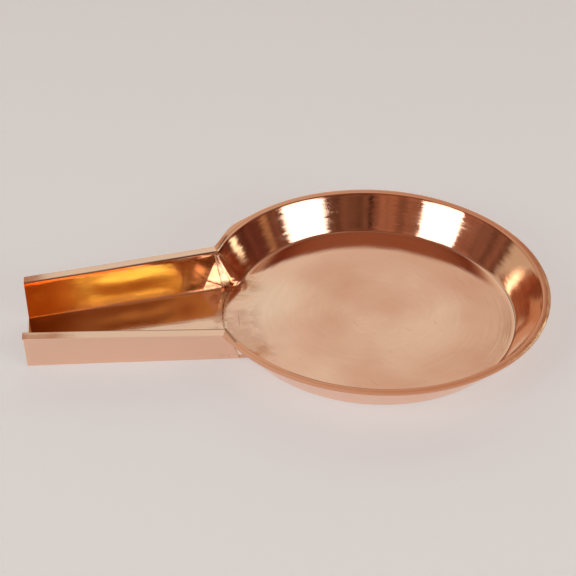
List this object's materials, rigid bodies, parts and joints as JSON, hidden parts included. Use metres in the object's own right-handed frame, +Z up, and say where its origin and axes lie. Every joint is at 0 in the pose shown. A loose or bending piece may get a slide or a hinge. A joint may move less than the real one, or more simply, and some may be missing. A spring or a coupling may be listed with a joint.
{
  "type": "copper pouring tray",
  "caption": "Shallow round copper tray with a flared wall, a flat turned-out rim and a long open channel spout let into one side, for bathing a small figure and draining the liquid.",
  "frame": {"origin": "centre of the dish, on the underside of the floor's low middle, where the tray stands", "axes": "+Z up; -X along the spout, from the dish to its cut end; +Y towards the rear side of the tray, with the spout to the left. The spout's axis is parallel to X at y = +5 mm"},
  "size_m": [0.3039, 0.203, 0.0254],
  "materials": {
    "spun_copper": "polished copper, satin spun floor",
    "folded_copper": "polished copper sheet",
    "solder": "dull cleaned solder"
  },
  "bodies": {
    "root": {"dish": "spun_copper", "spout_channel": "folded_copper", "floor_seam_solder": "solder", "rear_tab_solder": "solder", "front_tab_solder": "solder"}
  },
  "joints": []
}
